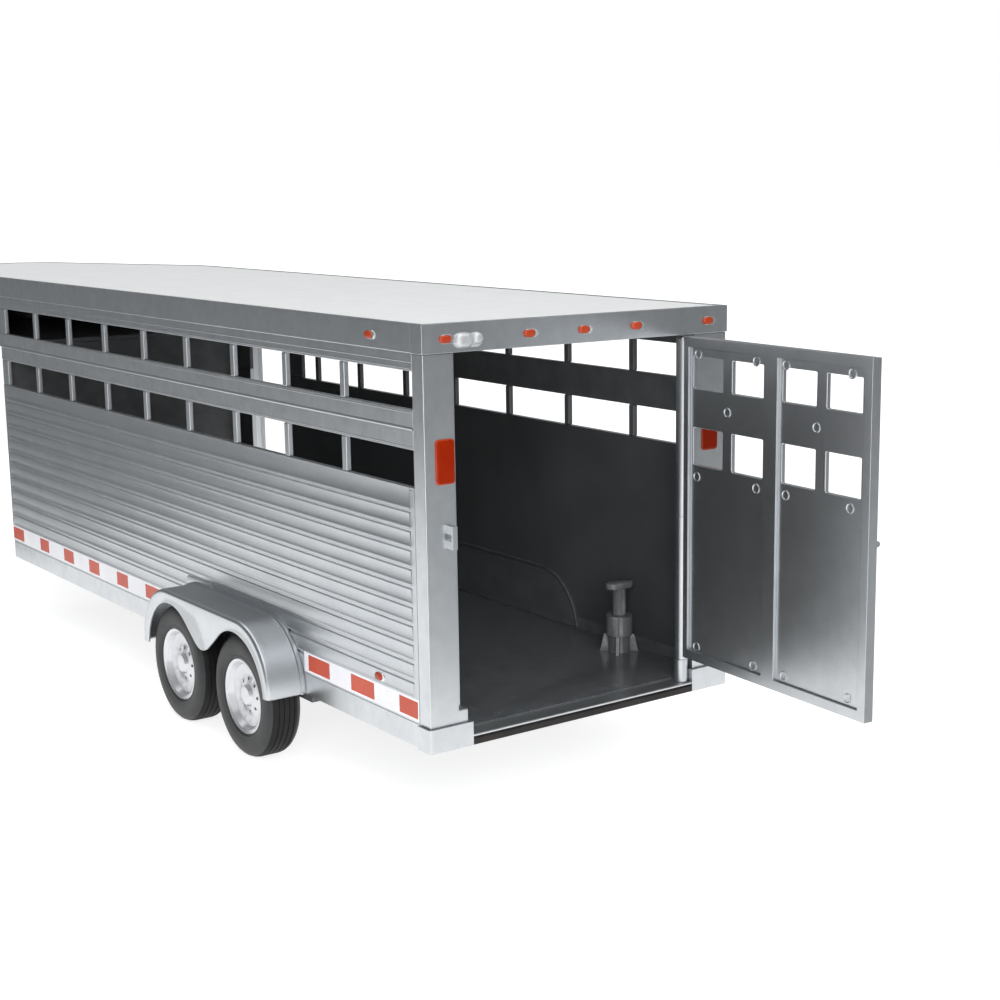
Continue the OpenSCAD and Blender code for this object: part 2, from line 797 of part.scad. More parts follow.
module floor_boss() {
    foot_h = 5.6;
    collar_r = 4.3;
    waist_r = 3.5;
    top = 12;
    gusset_out = 6.3;
    color("dimgray") translate([boss_x, boss_y, floor_z]) difference() {
        union() {
            cylinder(r = waist_r, h = foot_h);
            translate([0, 0, foot_h - eps]) cylinder(r = collar_r, h = top - foot_h);
            for (a = [45 : 90 : 315]) rotate([90, 0, a]) translate([0, 0, -0.5])
                linear_extrude(1)
                    polygon([[waist_r - 0.3, 0], [gusset_out, 0], [gusset_out - 0.3, 1], [collar_r + 0.6, foot_h],
                             [waist_r - 0.3, foot_h]]);
        }
        translate([0, 0, -1]) cylinder(r = pin_r + running_gap, h = top + 2);
    }
}

module turn_pin() {
    head_z = floor_z + 20.6;
    head_h = 2.3;
    head_w = 3.4;
    lug_h = 1.2;
    color("dimgray") translate([boss_x, boss_y, 0]) {
        translate([0, 0, floor_z - floor_t - 0.1 - lug_h])
            cylinder(r = pin_r, h = head_z - floor_z + floor_t + 0.2 + lug_h);
        along_y(-pin_head_l / 2, pin_head_l / 2)
            polygon([[-head_w / 2, head_z + 0.6], [-0.8, head_z], [0.8, head_z], [head_w / 2, head_z + 0.6],
                     [head_w / 2, head_z + head_h - 0.5], [0.8, head_z + head_h], [-0.8, head_z + head_h],
                     [-head_w / 2, head_z + head_h - 0.5]]);
        block([-3.6, -1.4, floor_z - floor_t - 0.1 - lug_h], [3.6, 1.4, floor_z - floor_t - 0.1]);
    }
}

module jack_housing() {
    bottom = 1;
    top = jack_leg_top + jack_travel + 2;
    color("silver") difference() {
        union() {
            translate([jack_x, jack_y, bottom]) cylinder(r = jack_housing_r, h = top - bottom);
            for (z = [bottom + 5, top - 11])
                block([body_l, jack_y - 2.4, z], [jack_x, jack_y + 2.4, z + 6]);
        }
        translate([jack_x, jack_y, bottom - 1]) cylinder(r = jack_leg_r + running_gap, h = top);
    }
}

module jack_leg() {
    foot_t = 2;
    color("lightgray") translate([jack_x, jack_y, ground_z]) {
        cylinder(r = jack_foot_r, h = foot_t);
        cylinder(r = jack_leg_r, h = jack_leg_top - ground_z);
    }
}

place() floor_pan();
place() rear_sill();
place() bumper_blocks();
place() bottom_rail(false);  // bottom_rail_left
place() bottom_rail(true);  // bottom_rail_right
place() siding(false);  // siding_left
place() siding(true);  // siding_right
place() mid_rail(false);  // mid_rail_left
place() mid_rail(true);  // mid_rail_right
place() top_rail(false);  // top_rail_left
place() top_rail(true);  // top_rail_right
place() window_bars(false);  // window_bars_left
place() window_bars(true);  // window_bars_right
place() rear_post_left();
place() rear_post_right();
place() rear_header();
place() roof_fascia(false);  // roof_fascia_left
place() roof_fascia(true);  // roof_fascia_right
place() roof_fascia_nose();
place() roof_panel();
place() front_wall();
place() nose_floor();
place() nose_wall(false);  // nose_wall_left
place() nose_wall(true);  // nose_wall_right
place() nose_wall_front();
place() neck_tube();
place() ball_coupler();
place() arch_liners();
place() fender(false);  // fender_left
place() fender(true);  // fender_right
place() axle_carriage();
place() axle_rods();
place() tyre(0, false);  // tyre_rear_left
place() tyre(0, true);  // tyre_rear_right
place() tyre(1, false);  // tyre_front_left
place() tyre(1, true);  // tyre_front_right
place() rim(0, false);  // rim_rear_left
place() rim(0, true);  // rim_rear_right
place() rim(1, false);  // rim_front_left
place() rim(1, true);  // rim_front_right
place() lower_knuckle();
place() hinge_pin();
place() door_frame();
place() door_panel(0);  // door_panel_hinge
place() door_panel(1);  // door_panel_latch
place() door_hinge_tube();
place() bolt_guides();
place() latch_bolt();
place() latch_keeper();
place() side_door();
place() side_hinges();
place() marker_bezels();
place() marker_lenses();
place() tail_lamps();
place() loading_lamp();
place() reflective_tape();
place() floor_boss();
place() turn_pin();
place() jack_housing();
place() jack_leg();
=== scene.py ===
"""Looks for the model livestock trailer: studio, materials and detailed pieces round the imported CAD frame."""

import json
import math

import bpy
from mathutils import Matrix, Vector


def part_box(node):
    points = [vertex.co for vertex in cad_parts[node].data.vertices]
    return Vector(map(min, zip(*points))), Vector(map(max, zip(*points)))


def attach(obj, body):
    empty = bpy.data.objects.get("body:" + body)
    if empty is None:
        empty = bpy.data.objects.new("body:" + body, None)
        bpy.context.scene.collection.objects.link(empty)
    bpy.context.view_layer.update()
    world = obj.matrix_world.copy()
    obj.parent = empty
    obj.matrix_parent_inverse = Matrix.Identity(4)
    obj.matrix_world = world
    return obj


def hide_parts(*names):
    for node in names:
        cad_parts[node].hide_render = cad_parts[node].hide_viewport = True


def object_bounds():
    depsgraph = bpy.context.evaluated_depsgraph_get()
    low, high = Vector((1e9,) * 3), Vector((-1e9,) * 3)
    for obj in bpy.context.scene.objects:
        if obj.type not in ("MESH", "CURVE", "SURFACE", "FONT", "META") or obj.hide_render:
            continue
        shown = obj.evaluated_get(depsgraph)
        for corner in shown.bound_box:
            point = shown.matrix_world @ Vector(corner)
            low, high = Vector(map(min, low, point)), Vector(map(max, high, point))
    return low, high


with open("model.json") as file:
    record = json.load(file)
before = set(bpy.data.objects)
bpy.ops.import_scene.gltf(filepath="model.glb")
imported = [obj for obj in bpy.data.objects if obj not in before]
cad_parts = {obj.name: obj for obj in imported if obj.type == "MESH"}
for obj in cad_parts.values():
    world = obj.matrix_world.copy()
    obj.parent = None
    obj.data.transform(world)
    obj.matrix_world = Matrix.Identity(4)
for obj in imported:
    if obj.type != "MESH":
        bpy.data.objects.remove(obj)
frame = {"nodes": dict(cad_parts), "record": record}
CAD_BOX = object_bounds()
NODES = frame["nodes"]
RECORD = frame["record"]
MM = 0.001

# The model frame of the sizes below, in mm: x from the posts' rear faces, z from under the bottom rails.
ORIGIN = Vector((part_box("rear_post_right")[0].x, 0.0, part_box("bottom_rail_left")[0].z))


def at(x, y, z):
    """A point given in mm in the model frame, in metres in the row frame."""
    return ORIGIN + Vector((x, y, z)) * MM


def span(node):
    """The lowest and highest corners of a CAD node in the model frame, in mm."""
    lo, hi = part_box(node)
    return (lo - ORIGIN) / MM, (hi - ORIGIN) / MM


# ---------------------------------------------------------------- camera and studio

FOCAL_PX = 1693.832
IMAGE_PX = 1000.0
CENTRE_PX = (582.157, 499.024)
CAM_PLACE = (-373.123, 289.237, 151.868)
CAM_YAW, CAM_PITCH, CAM_ROLL = -37.683, 10.527, -0.351
SENSOR = 36.0


def make_camera():
    yaw, pitch, roll = (math.radians(a) for a in (CAM_YAW, CAM_PITCH, CAM_ROLL))
    ahead = Vector((math.cos(yaw) * math.cos(pitch), math.sin(yaw) * math.cos(pitch), -math.sin(pitch)))
    right = ahead.cross(Vector((0, 0, 1))).normalized()
    up = right.cross(ahead)
    across = right * math.cos(roll) + up * math.sin(roll)
    upward = up * math.cos(roll) - right * math.sin(roll)
    data = bpy.data.cameras.new("view")
    data.sensor_width = SENSOR
    data.lens = SENSOR * FOCAL_PX / IMAGE_PX
    data.shift_x = (IMAGE_PX / 2 - CENTRE_PX[0]) / IMAGE_PX
    data.shift_y = (CENTRE_PX[1] - IMAGE_PX / 2) / IMAGE_PX
    data.clip_start, data.clip_end = 0.01, 60.0
    cam = bpy.data.objects.new("view", data)
    turn = Matrix((across, upward, -ahead)).transposed().to_4x4()
    cam.matrix_world = Matrix.Translation(at(*CAM_PLACE)) @ turn
    bpy.context.scene.collection.objects.link(cam)
    bpy.context.scene.camera = cam


def glow_material(name, colour, strength):
    mat = bpy.data.materials.new(name)
    mat.use_nodes = True
    tree = mat.node_tree
    tree.nodes.clear()
    out = tree.nodes.new("ShaderNodeOutputMaterial")
    emit = tree.nodes.new("ShaderNodeEmission")
    emit.inputs["Color"].default_value = (*colour, 1)
    emit.inputs["Strength"].default_value = strength
    tree.links.new(emit.outputs[0], out.inputs[0])
    return mat


FLOOR_GLOW = 0.80
FLOOR_GREY = 0.42
SUN_POWER, SUN_ANGLE = 3.1, 100.0
SUN_LEAN = (6, -8)
WORLD_GREY = 0.20
CARD_GREY = 0.16
FILL_POWER, FILL_SIZE = 20.0, (1.2, 0.8)
BOX_GLOW = 0.85
REAR_PAPER = 0.45
STUDIO_R, STUDIO_H, STUDIO_SIDES = 9.0, 7.0, 64
CARD_HIGH, CARD_FAR = 900, 2400


def floor_material():
    """White paper: part of its brightness is its own, so that shadows stay faint as on a light table."""
    mat = bpy.data.materials.new("studio_paper")
    mat.use_nodes = True
    bsdf = mat.node_tree.nodes["Principled BSDF"]
    bsdf.inputs["Base Color"].default_value = (FLOOR_GREY, FLOOR_GREY, FLOOR_GREY, 1)
    bsdf.inputs["Roughness"].default_value = 0.9
    bsdf.inputs["Specular IOR Level"].default_value = 0.1
    bsdf.inputs["Emission Color"].default_value = (1, 1, 1, 1)
    bsdf.inputs["Emission Strength"].default_value = FLOOR_GLOW
    return mat


def stage_mesh(name, verts, faces, mat):
    mesh = bpy.data.meshes.new(name)
    mesh.from_pydata([tuple(v) for v in verts], [], faces)
    mesh.materials.append(mat)
    obj = bpy.data.objects.new(name, mesh)
    bpy.context.scene.collection.objects.link(obj)
    return obj


def only_reflected(obj):
    obj.visible_camera = False
    obj.visible_shadow = False


def make_room(ground):
    """The white floor, and a backdrop that only the camera sees."""
    ring = [Vector((STUDIO_R * math.cos(a), STUDIO_R * math.sin(a), ground))
            for a in (2 * math.pi * i / STUDIO_SIDES for i in range(STUDIO_SIDES))]
    stage_mesh("floor", ring, [tuple(range(STUDIO_SIDES))], floor_material())
    top = [v + Vector((0, 0, STUDIO_H)) for v in ring]
    n = STUDIO_SIDES
    walls = [(i, (i + 1) % n, n + (i + 1) % n, n + i) for i in range(n)]
    white = glow_material("studio_white", (1, 1, 1), 1.0)
    backdrop = stage_mesh("backdrop", ring + top, walls + [tuple(range(n, 2 * n))], white)
    backdrop.visible_diffuse = backdrop.visible_glossy = False
    backdrop.visible_transmission = backdrop.visible_shadow = False


def make_cards():
    """Cards that only reflections see: they give the silver paint its darks and its one bright side."""
    dark = glow_material("studio_flag", (0.92, 0.97, 1.0), CARD_GREY)
    low = span("tyre_rear_left")[0].z

    def upright(name, a, b):
        pts = [at(*a, low + 4), at(*b, low + 4), at(*b, CARD_HIGH), at(*a, CARD_HIGH)]
        only_reflected(stage_mesh(name, pts, [(0, 1, 2, 3)], dark))

    upright("flag_left", (-150, 330), (CARD_FAR, 520))
    upright("flag_right", (-150, -330), (CARD_FAR, -520))
    upright("flag_front", (CARD_FAR, -520), (CARD_FAR, 520))
    upright("flag_rear", (-480, -60), (-480, -1900))
    glow = glow_material("studio_side_box", (1.0, 1.0, 1.0), BOX_GLOW)
    box = [at(-1000, 150, low + 60), at(-260, 880, low + 60), at(-260, 880, 620), at(-1000, 150, 620)]
    side_box = stage_mesh("side_box", box, [(0, 1, 2, 3)], glow)
    only_reflected(side_box)
    side_box.visible_diffuse = False
    far = [at(430, 95, low + 1), at(CARD_FAR, 60, low + 1), at(CARD_FAR, 520, low + 1), at(430, 330, low + 1)]
    only_reflected(stage_mesh("flag_floor", far, [(0, 1, 2, 3)], dark))
    mirrored = [Vector((p.x, -p.y, p.z)) for p in far]
    only_reflected(stage_mesh("flag_floor_right", mirrored, [(3, 2, 1, 0)], dark))
    dim = glow_material("studio_rear_paper", (0.95, 0.98, 1.0), REAR_PAPER)
    behind = [at(x, y, low + 1) for x, y in ((-110, 20), (-110, -1900), (-480, -1900), (-480, 20))]
    only_reflected(stage_mesh("flag_floor_rear", behind, [(0, 1, 2, 3)], dim))


def make_lights():
    """A broad softbox overhead, a weak fill from the camera's side and a grey world."""
    scene = bpy.context.scene
    world = bpy.data.worlds.new("studio")
    scene.world = world
    world.use_nodes = True
    world.node_tree.nodes["Background"].inputs["Color"].default_value = (0.94, 0.98, 1.0, 1)
    world.node_tree.nodes["Background"].inputs["Strength"].default_value = WORLD_GREY
    sun = bpy.data.lights.new("softbox", "SUN")
    sun.energy = SUN_POWER
    sun.angle = math.radians(SUN_ANGLE)
    lamp = bpy.data.objects.new("softbox", sun)
    lamp.rotation_euler = (math.radians(SUN_LEAN[0]), math.radians(SUN_LEAN[1]), 0)
    scene.collection.objects.link(lamp)
    fill = bpy.data.lights.new("fill", "AREA")
    fill.energy, fill.shape = FILL_POWER, "RECTANGLE"
    fill.size, fill.size_y = FILL_SIZE
    lamp = bpy.data.objects.new("fill", fill)
    lamp.location = at(-1150, 620, 520)
    lamp.rotation_euler = (at(120, -20, 30) - lamp.location).to_track_quat("-Z", "Y").to_euler()
    lamp.visible_glossy = False
    scene.collection.objects.link(lamp)


def make_studio():
    bpy.context.scene.view_settings.view_transform = "Standard"
    make_room(CAD_BOX[0].z - 0.00002)
    make_cards()
    make_lights()


# ---------------------------------------------------------------- materials


def surface(name, low, high, metallic, rough, grain=0.35, blotch=9.0, bump=0.010, swing=0.05, wear=0.35,
            edge=None, coat=0.0, coat_rough=0.1, specular=0.5, ior=1.5):
    """A moulded or painted surface: soft colour change, lighter rubbed edges, uneven gloss and fine grain."""
    mat = bpy.data.materials.new(name)
    mat.use_nodes = True
    tree = mat.node_tree
    new, link = tree.nodes.new, tree.links.new
    bsdf = tree.nodes["Principled BSDF"]
    coord = new("ShaderNodeTexCoord")

    def noise(size, detail):
        n = new("ShaderNodeTexNoise")
        n.inputs["Scale"].default_value = 1000.0 / size
        n.inputs["Detail"].default_value = detail
        link(coord.outputs["Object"], n.inputs["Vector"])
        return n.outputs["Fac"]

    def ramp(fac, a, b, pa, pb):
        r = new("ShaderNodeValToRGB")
        r.color_ramp.elements[0].position, r.color_ramp.elements[1].position = pa, pb
        r.color_ramp.elements[0].color, r.color_ramp.elements[1].color = (*a, 1), (*b, 1)
        link(fac, r.inputs["Fac"])
        return r.outputs["Color"]

    def mix(fac, a, b, mode="MIX"):
        m = new("ShaderNodeMix")
        m.data_type, m.blend_type = "RGBA", mode
        if isinstance(fac, float):
            m.inputs["Factor"].default_value = fac
        else:
            link(fac, m.inputs["Factor"])
        link(a, m.inputs["A"])
        link(b, m.inputs["B"])
        return m.outputs["Result"]

    body = ramp(noise(blotch, 3.0), low, high, 0.35, 0.65)
    speck = ramp(noise(grain, 1.0), (0.94, 0.94, 0.94), (1.0, 1.0, 1.0), 0.3, 0.6)
    colour = mix(1.0, body, speck, "MULTIPLY")
    if edge:
        geometry = new("ShaderNodeNewGeometry")
        rub = ramp(geometry.outputs["Pointiness"], (0, 0, 0), (1, 1, 1), 0.52, 0.60)
        patches = ramp(noise(blotch * 0.3, 4.0), (0.3, 0.3, 0.3), (1, 1, 1), 0.35, 0.65)
        patchy = mix(1.0, rub, patches, "MULTIPLY")
        tone = new("ShaderNodeRGB")
        tone.outputs[0].default_value = (*edge, 1)
        weigh = new("ShaderNodeMath")
        weigh.operation = "MULTIPLY"
        weigh.inputs[1].default_value = wear
        link(patchy, weigh.inputs[0])
        colour = mix(weigh.outputs[0], colour, tone.outputs[0])
    link(colour, bsdf.inputs["Base Color"])
    gloss = new("ShaderNodeMapRange")
    gloss.inputs["To Min"].default_value = rough - swing
    gloss.inputs["To Max"].default_value = rough + swing
    link(noise(blotch * 0.45, 4.0), gloss.inputs["Value"])
    link(gloss.outputs["Result"], bsdf.inputs["Roughness"])
    relief = new("ShaderNodeBump")
    relief.inputs["Strength"].default_value = 0.6
    relief.inputs["Distance"].default_value = bump * MM
    link(noise(grain, 2.0), relief.inputs["Height"])
    link(relief.outputs["Normal"], bsdf.inputs["Normal"])
    bsdf.inputs["Metallic"].default_value = metallic
    bsdf.inputs["Specular IOR Level"].default_value = specular
    bsdf.inputs["IOR"].default_value = ior
    bsdf.inputs["Coat Weight"].default_value = coat
    bsdf.inputs["Coat Roughness"].default_value = coat_rough
    return mat


SILVER = surface("silver_paint", (0.575, 0.60, 0.625), (0.605, 0.63, 0.65), 0.96, 0.32, grain=0.4,
                 blotch=14.0, bump=0.010, swing=0.03, edge=(0.84, 0.85, 0.86), wear=0.40)
CHARCOAL = surface("charcoal_moulding", (0.050, 0.053, 0.055), (0.062, 0.065, 0.068), 0.0, 0.30,
                   grain=0.6, blotch=20.0, bump=0.010, edge=(0.15, 0.155, 0.16), wear=0.5)
FLOOR = surface("charcoal_floor", (0.052, 0.056, 0.060), (0.062, 0.067, 0.072), 0.0, 0.20, grain=0.8,
                blotch=12.0, bump=0.006, swing=0.05, edge=(0.16, 0.165, 0.17), wear=0.5)
SILL_FACE = surface("sill_face", (0.010, 0.009, 0.009), (0.018, 0.015, 0.014), 0.0, 0.45, grain=0.5,
                    bump=0.010, specular=0.3)
ROOF = surface("roof_white", (0.76, 0.77, 0.77), (0.79, 0.795, 0.80), 0.0, 0.42, grain=0.7, bump=0.006,
               swing=0.06)
TYRE = surface("tyre_vinyl", (0.026, 0.027, 0.028), (0.036, 0.037, 0.038), 0.0, 0.50, grain=0.5,
               bump=0.03, specular=0.35)
TREAD = surface("tyre_tread", (0.008, 0.008, 0.008), (0.013, 0.013, 0.013), 0.0, 0.60, grain=0.4,
                bump=0.04, specular=0.2)
RIM = surface("rim_silver", (0.66, 0.67, 0.69), (0.72, 0.73, 0.75), 0.86, 0.30, grain=0.4, bump=0.008,
              swing=0.03)
STEEL = surface("steel_rod", (0.50, 0.50, 0.51), (0.62, 0.62, 0.63), 1.0, 0.28, grain=0.25, bump=0.012,
                edge=(0.8, 0.8, 0.8))
BEZEL = surface("bezel_chrome", (0.74, 0.75, 0.76), (0.84, 0.85, 0.86), 0.9, 0.22, grain=0.3, bump=0.006)
LENS = surface("red_lens", (0.29, 0.030, 0.008), (0.36, 0.044, 0.012), 0.0, 0.24, grain=0.8, bump=0.010,
               swing=0.04, coat=0.3, coat_rough=0.08, specular=0.3)
TAIL = surface("tail_lens", (0.19, 0.0100, 0.0006), (0.23, 0.0140, 0.0010), 0.0, 0.28, grain=0.8,
               bump=0.008, swing=0.03, coat=0.04, coat_rough=0.08, specular=0.08)
CLEAR = surface("lamp_clear", (0.50, 0.51, 0.52), (0.58, 0.59, 0.60), 0.55, 0.36, grain=0.9, bump=0.004,
                coat=0.15, coat_rough=0.15)
BOSS = surface("boss_moulding", (0.085, 0.088, 0.092), (0.105, 0.109, 0.113), 0.15, 0.22, grain=0.6,
               blotch=8.0, bump=0.008, edge=(0.30, 0.31, 0.32), wear=0.6)
TAPE = surface("tape_white", (0.84, 0.84, 0.88), (0.90, 0.90, 0.94), 0.0, 0.40, grain=0.5, bump=0.004)
TAPE_RED = surface("tape_red", (0.50, 0.055, 0.020), (0.57, 0.075, 0.030), 0.0, 0.36, grain=0.5,
                   bump=0.004)

BY_SLOT = {"silver_plastic": SILVER, "charcoal_plastic": CHARCOAL, "roof_white": ROOF, "tyre_vinyl": TYRE,
           "rim_silver": RIM, "steel_rod": STEEL, "bezel_chrome": BEZEL, "red_lens": LENS,
           "lamp_clear": CLEAR, "tape_white": TAPE}
SLOT_OF = {part["node"]: part["material_slot"] for part in RECORD["subparts"]}
BODY_OF = {n: body for body, names in RECORD["behaviour"]["bodies"].items() for n in names}


# ---------------------------------------------------------------- helpers for pieces


def smooth(obj, angle):
    mesh = obj.data
    for poly in mesh.polygons:
        poly.use_smooth = True
    mesh.set_sharp_from_angle(angle=math.radians(angle))


def add_bevel(obj, width, angle, segments=2):
    bevel = obj.modifiers.new("edges", "BEVEL")
    bevel.width = width * MM
    bevel.segments = segments
    bevel.limit_method = "ANGLE"
    bevel.angle_limit = math.radians(angle)
    bevel.harden_normals = True
    bevel.use_clamp_overlap = True
    bevel.miter_outer = "MITER_ARC"


def piece(name, verts, faces, mats, body, stands_for=(), face_mats=None, bevel=None, angle=30):
    """A new mesh piece from points in mm in the model frame, riding on a body."""
    mesh = bpy.data.meshes.new(name)
    mesh.from_pydata([tuple(at(*v)) for v in verts], [], faces)
    for mat in mats:
        mesh.materials.append(mat)
    if face_mats:
        mesh.polygons.foreach_set("material_index", face_mats)
    mesh.update()
    obj = bpy.data.objects.new(name, mesh)
    bpy.context.scene.collection.objects.link(obj)
    smooth(obj, angle)
    if bevel:
        add_bevel(obj, bevel, angle)
    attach(obj, body)
    if stands_for:
        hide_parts(*stands_for)
    return obj


OTHER_FINISH = {"floor_pan": FLOOR, "floor_boss": BOSS}


SHARP_ANGLE = 32
SILL_LIP_Z = 2.35


def dress(node, bevel, dark_inside):
    """A CAD node that keeps its shape: its material, and small rounded edges from modifiers."""
    obj = NODES[node]
    mesh = obj.data
    mesh.materials.clear()
    mesh.materials.append(BY_SLOT[SLOT_OF[node]])
    if "custom_normal" in mesh.attributes:
        mesh.attributes.remove(mesh.attributes["custom_normal"])
    for poly in mesh.polygons:
        poly.use_smooth = True
        poly.material_index = 0
    if node in OTHER_FINISH:
        mesh.materials[0] = OTHER_FINISH[node]
    if dark_inside:
        mesh.materials.append(CHARCOAL)
        paint_inside(mesh, node)
    if node == "rear_sill":
        mesh.materials.append(SILL_FACE)
        for poly in mesh.polygons:
            lip = (poly.center.z - ORIGIN.z) / MM > SILL_LIP_Z
            poly.material_index = 0 if lip else 1
    weld = obj.modifiers.new("weld", "WELD")
    weld.merge_threshold = 1e-6
    flat = obj.modifiers.new("flat", "DECIMATE")
    flat.decimate_type = "DISSOLVE"
    flat.angle_limit = math.radians(0.4)
    flat.delimit = {"MATERIAL"}
    add_bevel(obj, bevel, SHARP_ANGLE)


INNER_W = span("floor_pan")[1].y
BODY_L = span("siding_left")[1].x


def paint_inside(mesh, node):
    """The walls' inner faces are the charcoal lining; on the right wall the window, mid rail and top rail faces
    that do not face outwards get the same charcoal as painted shade, while the left wall's stay silver.
    """
    # Painted shade: every right-wall window, mid rail and top rail face that does not face outwards is coloured
    # charcoal.
    painted_shade_right_edges = node in ("window_bars_right", "mid_rail_right", "top_rail_right")
    for poly in mesh.polygons:
        c = (poly.center - ORIGIN) / MM
        n = poly.normal
        side = abs(c.y) < INNER_W + 0.15 and c.y * n.y < 0 and abs(n.y) > 0.7
        ends = (n.x < -0.7 and c.x > BODY_L - 3) or (n.x > 0.7 and c.x < 8 and abs(c.y) < INNER_W)
        under = n.z < -0.7 and c.z > 100 and abs(c.y) < INNER_W
        if side or ends or under or (painted_shade_right_edges and n.y > -0.5):
            poly.material_index = 1


# ---------------------------------------------------------------- slatted sides

GROOVE_FIRST, GROOVE_PITCH, GROOVES, GROOVE_H, GROOVE_DEEP = 18.1, 5.28, 11, 0.66, 0.22
SLAT_TILT, LIP_RISE = 0.20, 0.16
SLAT_MARGIN = 2.2
SIDE_DOORWAY, DOORWAY_SILL = (272.5, 307.5), 15.0


def slat_rows(z_low, z_high):
    """Heights and how far each stands proud: a groove, the rounded lip above it, then the leaning slat."""
    rows = [(z_low, 0.0)]
    for k in range(-2, GROOVES):
        z = GROOVE_FIRST + k * GROOVE_PITCH
        if z < z_low + 1.0 or z > z_high - 2.0:
            continue
        rows += [(z - 0.18, SLAT_TILT), (z - 0.06, SLAT_TILT - 0.06), (z, SLAT_TILT - 0.16)]
        rows += [(z + 0.12, -GROOVE_DEEP), (z + GROOVE_H - 0.10, -GROOVE_DEEP)]
        lip = z + GROOVE_H
        rows += [(lip, LIP_RISE - 0.12), (lip + 0.12, LIP_RISE), (lip + 0.5, LIP_RISE + 0.04)]
        rows += [(lip + 0.95, LIP_RISE - 0.02), (lip + 1.35, 0.03)]
    rows.append((z_high, SLAT_TILT * 0.9))
    return [r for r in rows if r[0] <= z_high + 1e-6]


def wall_block(verts, faces, kinds, side, x_a, x_b, z_a, z_b, y_out, y_in, slats):
    """One closed stretch of wall; slats is the x range in which its outer face is slatted, or None."""
    rows = slat_rows(z_a, z_b) if slats else [(z_a, 0.0), (z_b, 0.0)]
    if slats:
        s, e = slats
        xs = [x_a, s - 0.02, s + 0.25, e - 0.25, e + 0.02, x_b]
    else:
        xs = [x_a, x_b]
    base = len(verts)
    for x in xs:
        for z, rise in rows:
            proud = rise if slats and slats[0] < x < slats[1] else 0.0
            verts.append((x, side * (y_out + proud), z))
    nz = len(rows)
    for i in range(len(xs) - 1):
        for j in range(nz - 1):
            a = base + i * nz + j
            quad = (a, a + 1, a + nz + 1, a + nz)
            faces.append(quad if side < 0 else quad[::-1])
            kinds.append(0)
    loop = [base + i * nz for i in range(len(xs))]
    loop += [base + (len(xs) - 1) * nz + j for j in range(1, nz)]
    loop += [base + i * nz + nz - 1 for i in range(len(xs) - 2, -1, -1)]
    loop += [base + j for j in range(nz - 2, 0, -1)]
    inner = len(verts)
    for v in loop:
        x, _, z = verts[v]
        verts.append((x, side * y_in, z))
    n = len(loop)
    for i in range(n):
        j = (i + 1) % n
        quad = (loop[i], loop[j], inner + j, inner + i)
        faces.append(quad if side < 0 else quad[::-1])
        kinds.append(0)
    back = tuple(inner + i for i in range(n))
    faces.append(back if side < 0 else back[::-1])
    kinds.append(1)


def make_siding():
    for name, side in (("siding_left", 1), ("siding_right", -1)):
        lo, hi = span(name)
        verts, faces, kinds = [], [], []
        out = abs(hi.y) if side > 0 else abs(lo.y)
        if side > 0:
            blocks = [(lo.x, hi.x, lo.z, hi.z, (lo.x + SLAT_MARGIN, hi.x - SLAT_MARGIN))]
        else:
            door_a, door_b = SIDE_DOORWAY
            top = span("siding_left")[1].z
            blocks = [(lo.x, door_a, lo.z, top, (lo.x + SLAT_MARGIN, door_a - SLAT_MARGIN)),
                      (door_a, door_b, lo.z, DOORWAY_SILL, None),
                      (door_b, hi.x, lo.z, top, None)]
        for x_a, x_b, z_a, z_b, slats in blocks:
            wall_block(verts, faces, kinds, side, x_a, x_b, z_a, z_b, out, INNER_W, slats)
        piece(name + "_slats", verts, faces, [SILVER, CHARCOAL], "chassis", (name,), kinds,
              angle=20)


# ---------------------------------------------------------------- tape

TAPE_THICK = 0.2
TAPE_GAP = (69.9, 162.1)
TAPE_RED_REAR = ((3.0, 15.5), (29.0, 42.0), (54.5, 67.3))
TAPE_RED_FRONT = ((175.0, 186.5), (202.0, 212.0), (228.6, 238.6), (254.0, 264.0), (280.0, 289.5),
                  (308.0, 320.0))


def make_tape():
    lo, hi = span("reflective_tape")
    z_a, z_b, t = lo.z, hi.z, TAPE_THICK
    low_red, high_red = z_a + 0.7, z_b - 0.6
    wall = hi.y - t
    gap_a, gap_b = TAPE_GAP
    for side, label in ((1, "left"), (-1, "right")):
        verts, faces, kinds = [], [], []
        for x_a, x_b, reds in ((lo.x, gap_a, TAPE_RED_REAR), (gap_b, hi.x, TAPE_RED_FRONT)):
            edges = {x_a, x_b}
            for a, b in reds:
                edges |= {max(a, x_a), min(b, x_b)}
            xs = sorted(edges)
            zs = [z_a, low_red, high_red, z_b]
            base, nz = len(verts), len(zs)
            verts += [(x, side * (wall + t), z) for x in xs for z in zs]
            for i in range(len(xs) - 1):
                mid = (xs[i] + xs[i + 1]) / 2
                red = any(a < mid < b for a, b in reds)
                for j in range(nz - 1):
                    a = base + i * nz + j
                    quad = (a, a + 1, a + nz + 1, a + nz)
                    faces.append(quad if side < 0 else quad[::-1])
                    kinds.append(1 if red and j == 1 else 0)
            ring = [(x_a, z_a), (x_b, z_a), (x_b, z_b), (x_a, z_b)]
            top = len(verts)
            verts += [(x, side * (wall + t), z) for x, z in ring] + [(x, side * wall, z) for x, z in ring]
            for i in range(4):
                j = (i + 1) % 4
                quad = (top + i, top + j, top + 4 + j, top + 4 + i)
                faces.append(quad if side < 0 else quad[::-1])
                kinds.append(0)
        tape = piece("tape_" + label, verts, faces, [TAPE, TAPE_RED], "chassis",
                     ("reflective_tape",), kinds, angle=30)
        tape.visible_glossy = False


# ---------------------------------------------------------------- lamps


def stadium(w, h, steps=7):
    """The outline of a flat pill, w long and h high, counter-clockwise."""
    r, half = h / 2, (w - h) / 2
    right = [(half + r * math.cos(a), r * math.sin(a)) for a in fan(-90, 90, steps)]
    left = [(-half + r * math.cos(a), r * math.sin(a)) for a in fan(90, 270, steps)]
    return right + left


